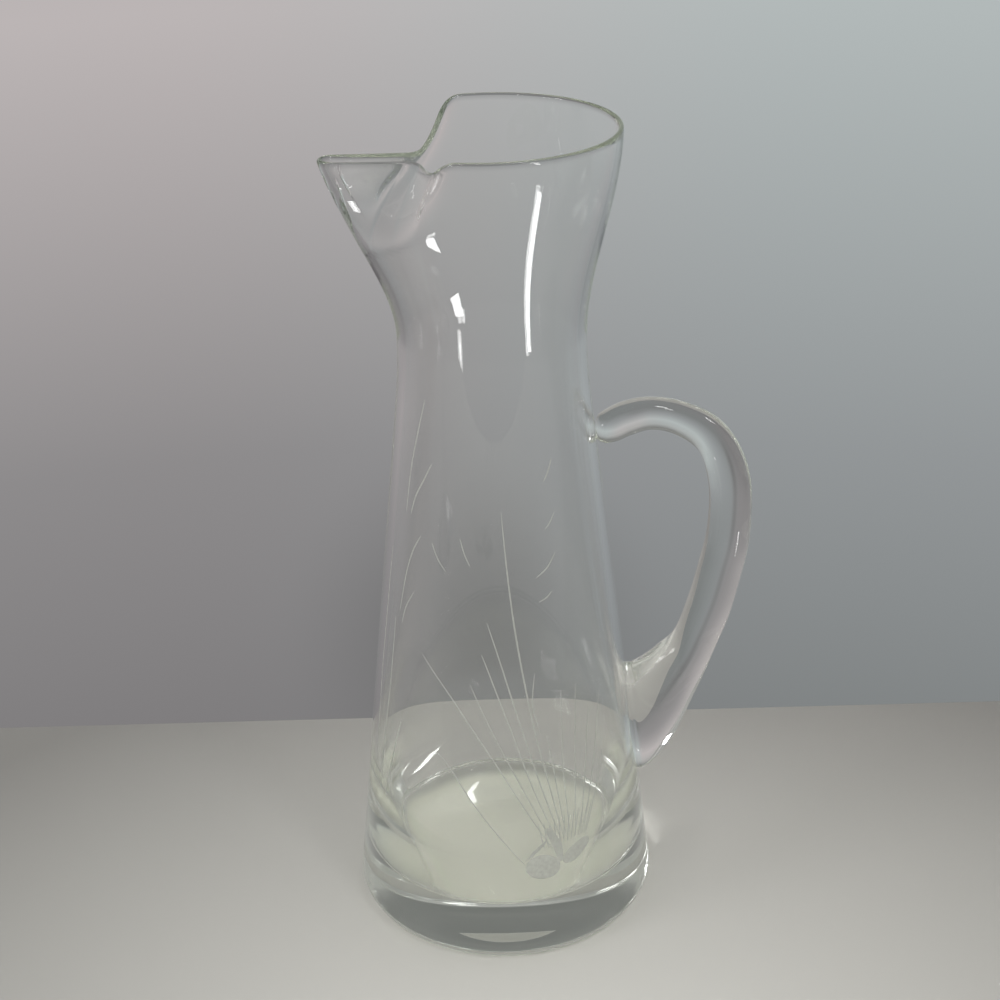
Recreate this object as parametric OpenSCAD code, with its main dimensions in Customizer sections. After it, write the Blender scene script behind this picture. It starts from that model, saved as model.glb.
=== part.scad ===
// A hand-blown glass cocktail pitcher with a thick foot, a drawn-in waist, a pinched pouring
// beak and an applied handle. The axis is Z, the foot rests on z = 0, the beak points along -X
// and the handle stands out along +X.

/* [Body] */
// Height of the rim above the table
body_h = 280; // [230:1:330]
// Radius of the foot
foot_r = 53.3; // [48:0.1:58]
// Rounding of the foot's lower edge
foot_edge_r = 5; // [3:0.5:7]
// Radius of the waist, the narrowest ring
waist_r = 30.5; // [28:0.1:34]
// Height of the waist
waist_z = 213; // [205:1:220]
// Radius of the long curve that draws the wall in to the waist
waist_curve_r = 184; // [120:1:230]
// Radius of the round part of the rim
rim_r = 41.7; // [38:0.1:45]
// Thickness of the blown wall
wall_t = 2.6; // [2:0.1:3.2]

/* [Base] */
// Height of the inner floor
floor_z = 18; // [12:0.5:24]
// Radius of the flat middle of the inner floor
floor_r = 39.2; // [35:0.2:40]
// Rounding between the inner floor and the wall
floor_edge_r = 1.8; // [1:0.1:3]
// Height at which the heavy base has thinned down to the blown wall
heel_z = 40; // [36:1:60]
// Radius of the hollow under the foot
punt_r = 39; // [30:0.5:43]
// Depth of the hollow under the foot
punt_depth = 1.6; // [0.8:0.1:2.5]

/* [Beak] */
// Distance of the beak's tip from the axis
beak_reach = 52.3; // [49:0.1:56]
// Width of the beak over its glass
beak_w = 9.8; // [9.6:0.1:11.5]
// Drop of the beak's tip below the rim
beak_drop = 9.2; // [5:0.1:13]
// Angle between the beak and the shoulder where the rim leaves its circle
shoulder_angle = 79; // [75:1:84]
// Distance from the axis to the corner where the pinched wall turns into the beak
pinch_x = 21.3; // [19:0.1:24]
// Distance from the axis to the pinched wall beside the shoulder
fold_x = 15.2; // [13:0.1:17]
// Drop of the rim at the pinched corner
pinch_drop = 8.8; // [5:0.1:12]
// Height at which the pinch begins under the beak's tip
dimple_z = 243; // [238:1:250]
// Height at which the pinch begins at the shoulders
shoulder_z = 264; // [256:1:268]

/* [Handle] */
// Height of the upper weld
weld_z = 178.2; // [168:0.1:186]
// Diameter of the upper weld
weld_d = 5.6; // [4:0.1:8]
// Diameter of the rod over the arch
arch_d = 11; // [9:0.1:12.5]
// Diameter of the rod where the hand holds it
grip_d = 14.5; // [12:0.1:16]
// Distance of the rod's centre line from the wall at the grip
grip_out = 42.4; // [38:0.1:48]
// Height of the middle of the foot of the handle
root_z = 65; // [60:0.5:74]
// Height of the weld at the foot of the handle
root_h = 44; // [36:0.5:50]
// Width of the weld at the foot of the handle
root_w = 21; // [18:0.5:25]

/* [Hidden] */
glass = [0.86, 0.91, 0.89, 0.45];
handle_glass = [0.74, 0.82, 0.79, 0.6];

// Facets of the revolved parts, and the steps along one curved stretch
revolve_fn = 96;
arc_steps = 8;
floor_steps = 5;
waist_steps = 10;
// Each half of the mouth has this many steps on the round rim, the shoulder, the pinched wall,
// the pinched corner, the beak's side and the beak's tip
rim_steps = [13, 6, 3, 5, 4, 4];
mouth_rings = 18;
bead_steps = 4;
// Sides of the handle's section and steps between two of its stations
rod_sides = 24;
rod_steps = 3;
// Direction of the heel's wall where it leaves the floor's rounding
heel_angle = 78;
// How far the mouth's glass reaches down into the wall below, and how far it lies inside it
lap = 1;
lap_inset = 0.1;

// Share of rim_r at which the pinched wall's line starts, and where the shoulder ends on it
fold_line_share = 0.8;
fold_side_share = 0.72;
fold_out_share = 0.12;
// Pulls of the shoulder's curve as shares of rim_r
shoulder_pull_share = 0.14;
fold_pull_share = 0.13;
// Size of the pinched corner as a share of the beak's half width, and its start and pulls
corner_share = 0.8;
corner_start_share = 1.1;
corner_pull_share = 0.35;
corner_end_share = 0.3;
// Share of pinch_drop at the end of the shoulder, and shares of the drop from there to the tip
fold_drop_share = 0.6;
corner_drop_share = 0.1;
side_drop_share = 0.2;
// How much of its mean slope a line of glass keeps at the beak's tip
lean_share = 0.72;
// Step along a line of glass that its direction is measured over
nudge = 0.01;

function mix(a, b, t) = a + (b - a) * t;
function smooth(t) = t * t * (3 - 2 * t);
function unit(v) = v / norm(v);
function arc(c, r, from, to, steps) =
    [for (i = [0:steps]) let (a = mix(from, to, i / steps)) [c.x + r * cos(a), c.y + r * sin(a)]];
function rest(v) = [for (i = [1:len(v) - 1]) v[i]];
function bezier(p, t) =
    (1 - t) ^ 3 * p[0] + 3 * (1 - t) ^ 2 * t * p[1] + 3 * (1 - t) * t ^ 2 * p[2] + t ^ 3 * p[3];

// Outer wall: the foot's rounding ends on a line that runs tangent into the waist's curve
foot_lean = atan((foot_r - waist_r) / waist_z);
foot_centre = [foot_r - foot_edge_r, foot_edge_r];
foot_top = foot_centre + foot_edge_r * [cos(foot_lean), sin(foot_lean)];
waist_centre = [waist_r + waist_curve_r, waist_z];
to_waist = waist_centre - foot_top;
wall_angle = atan2(to_waist.y, to_waist.x) + asin(waist_curve_r / norm(to_waist));
wall_run = sqrt(norm(to_waist) ^ 2 - waist_curve_r ^ 2);
wall_top = foot_top + wall_run * [cos(wall_angle), sin(wall_angle)];
// Direction from the waist's centre to the point where the straight wall meets its curve
curve_angle = wall_angle + 90;

// Radius of the outer wall at a height at or below the waist
function wall_r(z) =
    z < wall_top.y
        ? foot_top.x + (z - foot_top.y) * cos(wall_angle) / sin(wall_angle)
        : waist_centre.x - sqrt(waist_curve_r ^ 2 - (min(z, waist_z) - waist_z) ^ 2);

// The wall's outline from the axis to the waist, drawn inwards by t
function curve_line(t) = arc(waist_centre, waist_curve_r + t, curve_angle, 180, waist_steps);

outer_line = concat(arc(foot_centre, foot_edge_r, -90, foot_lean, arc_steps), curve_line(0));

// Inner outline: the floor's rounding, then a heel that swings up to the blown wall
floor_centre = [floor_r, floor_z + floor_edge_r];
floor_end = floor_centre + floor_edge_r * [cos(heel_angle - 90), sin(heel_angle - 90)];
heel_top = [wall_r(heel_z) - wall_t, heel_z];
heel_pull = (heel_z - floor_z) / 3;
heel = [
    floor_end,
    floor_end + heel_pull * [cos(heel_angle), sin(heel_angle)],
    heel_top - heel_pull * [cos(wall_angle), sin(wall_angle)],
    heel_top
];
inner_line = concat(
    arc(floor_centre, floor_edge_r, -90, heel_angle - 90, floor_steps),
    rest([for (i = [0:arc_steps]) bezier(heel, i / arc_steps)]),
    curve_line(wall_t)
);

// Hollow under the foot, a shallow ball cap
punt_ball_r = (punt_r ^ 2 + punt_depth ^ 2) / (2 * punt_depth);

// Rim of the mouth, one half, as [distance towards the beak, distance to the side, height]
beak_half_w = beak_w / 2;
shoulder = rim_r * [cos(shoulder_angle), sin(shoulder_angle)];
shoulder_out = [sin(shoulder_angle), -cos(shoulder_angle)];
pinch = [pinch_x, beak_half_w];
pinch_in = unit(pinch - [fold_x, fold_line_share * rim_r]);
corner_r = corner_share * beak_half_w;
fold_end = [mix(fold_x, pinch_x, fold_out_share), fold_side_share * rim_r];
pinch_start = pinch - corner_start_share * corner_r * pinch_in;
pinch_end = pinch + [corner_r, 0];
tip_centre = [beak_reach - beak_half_w, 0];
fold_curve = [
    shoulder,
    shoulder + shoulder_pull_share * rim_r * shoulder_out,
    fold_end - fold_pull_share * rim_r * pinch_in,
    fold_end
];
corner_curve = [
    pinch_start,
    pinch - corner_pull_share * corner_r * pinch_in,
    pinch + [corner_end_share * corner_r, 0],
    pinch_end
];

function with_z(line, from, to) =
    let (n = len(line) - 1) [for (i = [0:n]) [line[i].x, line[i].y, body_h - mix(from, to, smooth(i / n))]];
function straight(a, b, n) = [for (i = [0:n]) mix(a, b, i / n)];
function curved(c, n) = [for (i = [0:n]) bezier(c, i / n)];

// Rim drops at the ends of the shoulder, the corner and the beak's side
fold_drop = fold_drop_share * pinch_drop;
corner_drop = mix(pinch_drop, beak_drop, corner_drop_share);
side_drop = mix(pinch_drop, beak_drop, side_drop_share);
half_rim = concat(
    with_z(arc([0, 0], rim_r, 180, shoulder_angle, rim_steps[0]), 0, 0),
    rest(with_z(curved(fold_curve, rim_steps[1]), 0, fold_drop)),
    rest(with_z(straight(fold_end, pinch_start, rim_steps[2]), fold_drop, pinch_drop)),
    rest(with_z(curved(corner_curve, rim_steps[3]), pinch_drop, corner_drop)),
    rest(with_z(straight(pinch_end, tip_centre + [0, beak_half_w], rim_steps[4]), corner_drop, side_drop)),
    rest(with_z(arc(tip_centre, beak_half_w, 90, 0, rim_steps[5]), side_drop, beak_drop))
);
rim_n = len(half_rim) - 1;

// Angle from the beak at which each line of glass leaves the waist: the lines of the pinched part
// stand evenly over the arc that was drawn together into the beak
half_turns = [for (i = [0:rim_n]) i <= rim_steps[0]
    ? mix(180, shoulder_angle, i / rim_steps[0])
    : mix(shoulder_angle, 0, (i - rim_steps[0]) / (rim_n - rim_steps[0]))];

// The whole rim, from the handle's side round past the beak, with the beak along -X
rim = concat(
    [for (p = half_rim) [-p.x, -p.y, p.z]],
    [for (i = [rim_n - 1:-1:1]) [-half_rim[i].x, half_rim[i].y, half_rim[i].z]]
);
turns = concat([for (a = half_turns) -a], [for (i = [rim_n - 1:-1:1]) half_turns[i]]);
around = len(rim);
function flat(i) = [-cos(turns[i]), sin(turns[i])];

// The wide lip before it is pinched: how far line i takes part in its pull towards the beak
function lip_share(i) = (1 - min(1, abs(turns[i]) / shoulder_angle) ^ 2) ^ 2;

// A point of the mouth's outer face: line i, from the waist at t = 0 to the rim at t = 1
function outer_point(i, t) =
    let (
        z = mix(waist_z, rim[i].z, t),
        lip_r = mix(rim_r, beak_reach, lip_share(i)),
        lean = lean_share * lip_share(i),
        r = mix(waist_r, lip_r, smooth(t) - lean * t ^ 2 * (1 - t)),
        low_z = mix(dimple_z, shoulder_z, min(1, abs(turns[i]) / shoulder_angle) ^ 2),
        s = max(0, (z - low_z) / (rim[i].z - low_z)),
        pinched = s ^ 2 * (2 - s),
        push = [rim[i].x, rim[i].y] - lip_r * flat(i),
        p = r * flat(i) + pinched * push
    )
    [p.x, p.y, z];

// Outward direction of that face, from its neighbours along and across the line of glass
function face_normal(i, t) =
    let (
        across = outer_point((i + 1) % around, t) - outer_point((i + around - 1) % around, t),
        up = outer_point(i, min(1, t + nudge)) - outer_point(i, max(0, t - nudge))
    )
    unit(cross(up, across));

function inner_point(i, t) = outer_point(i, t) - wall_t * face_normal(i, t);

// The fire-polished edge: half a ring over the wall's thickness
function bead_point(i, a) =
    let (
        n = face_normal(i, 1),
        up = unit(outer_point(i, 1) - outer_point(i, 1 - nudge)),
        c = outer_point(i, 1) - wall_t / 2 * (n + up)
    )
    c + wall_t / 2 * (cos(a) * n + sin(a) * up);

// Rings of the mouth's closed shell: up the outside, over the bead, down the inside
function ring_points(t, inside) = [for (i = [0:around - 1]) inside ? inner_point(i, t) : outer_point(i, t)];
function lap_ring(r, z) = [for (i = [0:around - 1]) [r * flat(i).x, r * flat(i).y, z]];
bead_share = 1 - wall_t / 2 / (body_h - waist_z);
mouth_shell = concat(
    [lap_ring(waist_r - lap_inset, waist_z - lap)],
    [for (j = [1:mouth_rings]) ring_points(bead_share * j / mouth_rings, false)],
    [for (j = [1:bead_steps - 1]) [for (i = [0:around - 1]) bead_point(i, 180 * j / bead_steps)]],
    [for (j = [mouth_rings:-1:1]) ring_points(bead_share * j / mouth_rings, true)],
    [lap_ring(waist_r - wall_t + lap_inset, waist_z - lap)]
);

// Closed tube of quads through rings of equal length, whose last ring joins the first
function ring_faces(rings, n, closed) = [
    for (j = [0:closed ? rings - 1 : rings - 2]) for (i = [0:n - 1])
        let (a = j * n + i, b = j * n + (i + 1) % n, up = ((j + 1) % rings) * n)
        each [[a, b, up + (i + 1) % n], [a, up + (i + 1) % n, up + i]]
];

module mouth_glass() {
    polyhedron(
        points = [for (r = mouth_shell) each r],
        faces = ring_faces(len(mouth_shell), around, true),
        convexity = 6
    );
}

// The body's outer form up to the waist, filled
module outer_form() {
    rotate_extrude($fn = revolve_fn)
        polygon(concat([[0, 0]], outer_line, [[0, waist_z]]));
}

module inner_form() {
    rotate_extrude($fn = revolve_fn)
        polygon(concat([[0, floor_z]], inner_line, [[waist_r - wall_t, waist_z + lap], [0, waist_z + lap]]));
}

module punt() {
    rotate_extrude($fn = revolve_fn)
        polygon(concat(
            [[0, -lap]],
            [[punt_r, -lap]],
            [for (i = [0:arc_steps]) let (r = punt_r * (1 - i / arc_steps))
                [r, punt_depth - punt_ball_r + sqrt(punt_ball_r ^ 2 - r ^ 2)]]
        ));
}

module vessel() {
    color(glass) {
        difference() {
            outer_form();
            inner_form();
            punt();
        }
        mouth_glass();
    }
}

// Stations of the handle from the upper weld to the end of the arch's fall. Each row has the
// shares of grip_out and of the height between the welds, the share of the rod's thickness
// between weld_d or arch_d and grip_d, and the direction across the rod in degrees
weld_shares = [
    [-0.04, 0.990, 0.00, 96],
    [0.000, 0.993, 0.00, 97],
    [0.026, 0.996, 0.47, 100],
    [0.062, 1.001, 0.85, 105]
];
arch_shares = [
    [0.130, 1.010, 0.08, 110],
    [0.250, 1.030, 0.15, 106],
    [0.430, 1.044, 0.00, 95],
    [0.635, 1.030, 0.02, 76],
    [0.840, 0.985, 0.35, 56],
    [0.950, 0.920, 0.65, 37],
    [1.000, 0.832, 0.86, 12],
    [0.993, 0.738, 1.00, -7],
    [0.943, 0.624, 1.20, -18],
    [0.860, 0.522, 1.32, -24],
    [0.745, 0.398, 1.40, -27],
    [0.582, 0.264, 1.46, -33]
];
// The foot swells into the wall: the same places, then the shares of root_h and root_w
root_shares = [
    [0.412, 0.166, 0.53, 0.79, -55],
    [0.262, 0.083, 0.74, 0.85, -68],
    [0.105, 0.018, 0.93, 0.94, -78],
    [0.000, 0.000, 1.00, 1.00, -83],
    [-0.100, 0.000, 1.00, 1.00, -83]
];

function place(out_share, high_share) =
    let (z = mix(root_z, weld_z, high_share)) [wall_r(z) + grip_out * out_share, z];
// A station is [x, z, half width along the handle's plane, half width across it, direction]
function rod_station(s, thin) =
    let (p = place(s[0], s[1]), half = mix(thin, grip_d, s[2]) / 2) [p.x, p.y, half, half, s[3]];
function root_station(s) =
    let (p = place(s[0], s[1])) [p.x, p.y, root_h / 2 * s[2], root_w / 2 * s[3], s[4]];
stations = concat(
    [for (s = weld_shares) let (p = place(s[0], s[1]), half = mix(weld_d, arch_d, s[2]) / 2)
        [p.x, p.y, half, half, s[3]]],
    [for (s = arch_shares) rod_station(s, arch_d)],
    [for (s = root_shares) root_station(s)]
);
station_n = len(stations);

// A smooth curve through the stations
function through(a, b, c, d, t) =
    b + (c - a) * t / 2 + (a - 5 / 2 * b + 2 * c - d / 2) * t ^ 2 + (3 / 2 * b - 3 / 2 * c + (d - a) / 2) * t ^ 3;
function station(k) = stations[max(0, min(station_n - 1, k))];
rod_line = concat(
    [for (k = [0:station_n - 2]) for (s = [0:rod_steps - 1])
        through(station(k - 1), station(k), station(k + 1), station(k + 2), s / rod_steps)],
    [stations[station_n - 1]]
);

function rod_ring(s) = [for (i = [0:rod_sides - 1])
    let (a = 360 * i / rod_sides, along = s[2] * cos(a))
    [s[0] + along * cos(s[4]), s[3] * sin(a), s[1] + along * sin(s[4])]];
rod_rings = len(rod_line);

module handle() {
    color(handle_glass)
        difference() {
            polyhedron(
                points = [for (s = rod_line) each rod_ring(s)],
                faces = concat(
                    ring_faces(rod_rings, rod_sides, false),
                    [[for (i = [rod_sides - 1:-1:0]) i]],
                    [[for (i = [0:rod_sides - 1]) (rod_rings - 1) * rod_sides + i]]
                ),
                convexity = 6
            );
            outer_form();
        }
}

vessel();
handle();
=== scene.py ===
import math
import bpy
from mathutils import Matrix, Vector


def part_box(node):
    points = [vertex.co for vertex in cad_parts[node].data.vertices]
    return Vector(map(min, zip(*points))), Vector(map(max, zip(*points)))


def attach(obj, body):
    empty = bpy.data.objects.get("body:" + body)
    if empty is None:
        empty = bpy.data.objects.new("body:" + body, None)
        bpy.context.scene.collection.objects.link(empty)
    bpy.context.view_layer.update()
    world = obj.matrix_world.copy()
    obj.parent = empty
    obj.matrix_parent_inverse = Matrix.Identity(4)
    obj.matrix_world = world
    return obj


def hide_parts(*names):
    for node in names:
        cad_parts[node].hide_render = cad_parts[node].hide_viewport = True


bl_info = {
    "name": "Glass Cocktail Pitcher",
    "version": (1, 0, 0),
    "blender": (4, 5, 0),
    "location": "3D Viewport > Sidebar > Pitcher",
    "description": "Makes a glass pitcher with a pinched beak, a handle and wheel-cut grasses",
    "category": "Object",
}

import bmesh
import bpy
from bpy.props import FloatProperty, FloatVectorProperty, IntProperty, PointerProperty
from mathutils import Matrix, Vector

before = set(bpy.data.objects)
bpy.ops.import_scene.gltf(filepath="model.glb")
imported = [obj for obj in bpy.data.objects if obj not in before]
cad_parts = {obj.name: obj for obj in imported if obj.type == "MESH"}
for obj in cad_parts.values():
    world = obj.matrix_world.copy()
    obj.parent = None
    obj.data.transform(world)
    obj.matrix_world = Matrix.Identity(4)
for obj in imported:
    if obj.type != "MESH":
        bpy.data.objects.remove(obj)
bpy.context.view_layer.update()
BODY_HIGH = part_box("vessel")[1]
MM = 0.001

# Shares of half the rim, from the handle's side to the beak's tip: the round rim, the shoulder,
# the pinched wall, the pinched corner, the beak's side and the beak's tip
RIM_SHARES = (0.0, 0.42, 0.578, 0.657, 0.789, 0.895, 1.0)
# A line of glass keeps this share of its mean slope at the beak's tip
LEAN_SHARE = 0.72
# The fold in plan, in shares of the rim's radius: how far aside the pinched wall aims and the
# shoulder's curve ends, and the pull at the two ends of that curve
FOLD_AIM, FOLD_ASIDE, SHOULDER_PULL, FOLD_PULL = 0.8, 0.72, 0.14, 0.13
# The shoulder's curve ends this share of the way out from the fold to the pinch
FOLD_SHARE = 0.12
# The pinched corner in plan: its reach in shares of half the beak's width, and in shares of
# that reach how far back it starts and the pull at its two ends
CORNER_REACH, CORNER_START, CORNER_IN, CORNER_OUT = 0.8, 1.1, 0.35, 0.3
# The rim's drop: the share of the pinch's drop at the end of the shoulder, and the shares of the
# way from the pinch's drop to the beak's drop at the end of the corner and of the beak's side
SHOULDER_DROP, CORNER_DROP, SIDE_DROP = 0.6, 0.1, 0.2
# Steps along each stretch of the vessel's outline
PUNT_STEPS = 10
RING_STEPS = 4
EDGE_STEPS = 10
WALL_STEPS = 70
WAIST_STEPS = 12
MOUTH_STEPS = 42
BEAD_STEPS = 8
INNER_STEPS = 50
HEEL_STEPS = 18
FLOOR_STEPS = 7
# Rings that close the rod at its upper weld and at its foot
WELD_RINGS, ROOT_RINGS = 4, 8
# Step of a share or angle over which a slope is measured, and the gap that counts as closed
NUDGE = 0.002
CLOSED_GAP = 1e-6


def length(name, description, millimetres):
    """A size in metres, given in millimetres"""
    return FloatProperty(name=name, description=description, default=millimetres * MM,
                         unit="LENGTH")


def count(name, description, value, least):
    return IntProperty(name=name, description=description, default=value, min=least)


def degrees(name, description, value):
    """An angle in radians, given in degrees"""
    return FloatProperty(name=name, description=description, default=math.radians(value),
                         subtype="ANGLE")


def colour(name, description, value):
    return FloatVectorProperty(name=name, description=description, default=value, size=len(value),
                               subtype="COLOR", min=0.0, max=1.0)


class VesselSizes(bpy.types.PropertyGroup):
    foot_edge_radius: length("Foot edge", "Rounding of the foot's lower edge", 5.0)
    waist_radius: length("Waist radius", "Radius of the narrowest ring", 30.5)
    waist_height: length("Waist height", "Height of the narrowest ring", 213.0)
    waist_curve: length("Waist curve", "Radius of the long curve that draws the wall in", 184.0)
    rim_radius: length("Rim radius", "Radius of the round part of the rim", 41.7)
    wall: length("Wall", "Thickness of the blown wall", 2.6)
    rim_wall: length("Rim wall", "Thickness that the wall has thinned to at the rim", 1.7)
    floor_height: length("Floor height", "Height of the inner floor", 18.0)
    floor_radius: length("Floor radius", "Radius of the flat middle of the inner floor", 40.4)
    floor_edge: length("Floor edge", "Rounding between the inner floor and the wall", 1.8)
    heel_angle: degrees("Heel angle", "Direction of the heel above the floor's edge", 82.0)
    heel_height: length("Heel height", "Height where the heavy base has thinned to the wall", 60.0)
    punt_radius: length("Punt radius", "Radius of the hollow under the foot", 39.0)
    punt_depth: length("Punt depth", "Depth of the hollow under the foot", 1.6)
    beak_reach: length("Beak reach", "Distance of the beak's tip from the axis", 52.3)
    beak_width: length("Beak width", "Width of the beak over its glass", 9.8)
    beak_drop: length("Beak drop", "Drop of the beak's tip below the rim", 9.2)
    shoulder_angle: degrees("Shoulder angle", "Angle from the beak to the shoulder", 79.0)
    pinch_out: length("Pinch distance", "Distance of the pinched corner from the axis", 21.3)
    fold_out: length("Fold distance", "Distance of the pinched wall from the axis", 15.2)
    pinch_drop: length("Pinch drop", "Drop of the rim at the pinched corner", 8.8)
    dimple_height: length("Dimple height", "Height of the pinch's start under the beak", 243.0)
    shoulder_height: length("Shoulder height", "Height of its start at the shoulders", 264.0)
    lines: count("Lines", "Lines of glass round the body", 264, 96)


class HandleSizes(bpy.types.PropertyGroup):
    weld_height: length("Upper weld height", "Height of the upper weld", 178.2)
    weld_diameter: length("Upper weld", "Diameter of the upper weld", 5.6)
    arch_diameter: length("Arch", "Diameter of the rod over the arch", 11.0)
    grip_diameter: length("Grip", "Diameter of the rod where the hand holds it", 14.5)
    grip_out: length("Stand-off", "Distance of the rod's middle from the wall at the grip", 42.4)
    root_height: length("Root height", "Height of the middle of the handle's foot", 65.0)
    root_length: length("Root length", "Height of the weld at the handle's foot", 44.0)
    root_width: length("Root width", "Width of the weld at the handle's foot", 21.0)
    clearance: length("Clearance", "Gap that keeps the two pieces apart at their welds", 0.03)
    sides: count("Sides", "Sides of the rod's section", 64, 12)
    steps: count("Steps", "Steps between two stations of the rod", 9, 2)


class CutSizes(bpy.types.PropertyGroup):
    stem_width: length("Stem width", "Width of a long stem where it is widest", 0.5)
    tip_width: length("Tip width", "Width of a cut at its ends", 0.1)
    skin: length("Frost", "Thickness of the frosted skin that shows a cut", 0.04)
    clearance: length("Frost clearance", "Gap that keeps the frosted skin off the wall", 0.03)
    steps: count("Steps", "Steps along a cut", 40, 4)


class GlassLook(bpy.types.PropertyGroup):
    tint: colour("Tint", "Colour that the glass takes on where it is thick", (0.60, 0.70, 0.54))
    density: FloatProperty(name="Density", description="How strongly the glass is tinted",
                           default=2.2)
    surface: colour("Surface", "Colour of the glass surface", (0.996, 0.998, 0.994, 1.0))
    frost_low: colour("Frost low", "Colour of a cut where it is dull", (0.46, 0.47, 0.43, 1.0))
    frost_high: colour("Frost high", "Colour of a cut where it is bright", (0.74, 0.75, 0.70, 1.0))
    frost_cover: FloatProperty(name="Frost cover", description="Share of the light a cut scatters",
                               default=0.60, min=0.0, max=1.0)


class StageLook(bpy.types.PropertyGroup):
    camera_distance: length("Camera distance", "Distance of the camera in front of the axis", 525.7)
    camera_height: length("Camera height", "Height of the camera above the table", 418.4)
    camera_pitch: degrees("Camera pitch", "How far the camera looks down", 26.81)
    camera_yaw: degrees("Camera yaw", "How far the camera looks to the right", 0.14)
    camera_roll: degrees("Camera roll", "How far the camera leans", -1.46)
    focal_length: FloatProperty(name="Focal length", description="Focal length in millimetres",
                                default=63.18)
    table_edge: length("Table edge", "Distance of the table's back edge behind the axis", 100.0)
    table_gap: length("Table gap", "Clearance between the foot and the table", 0.1)
    table_front: colour("Table front", "Colour of the table's front", (0.68, 0.67, 0.63, 1.0))
    # Painted light: the table under the foot is painted lighter for the light that passes through
    # the glass base
    table_under_light: colour("Table under", "Colour under the foot", (0.57, 0.57, 0.495, 1.0))
    # Painted shade: the table's back is painted darker where shade falls behind the pitcher
    table_back_shade: colour("Table back", "Colour of the table's back", (0.24, 0.232, 0.220, 1.0))


def mix(a, b, t):
    return a + (b - a) * t


def smooth(t):
    return t * t * (3 - 2 * t)


def bezier(p, t):
    u = 1 - t
    return u**3 * p[0] + 3 * u * u * t * p[1] + 3 * u * t * t * p[2] + t**3 * p[3]


def polar(radius, angle):
    return Vector((radius * math.cos(angle), radius * math.sin(angle)))


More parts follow.
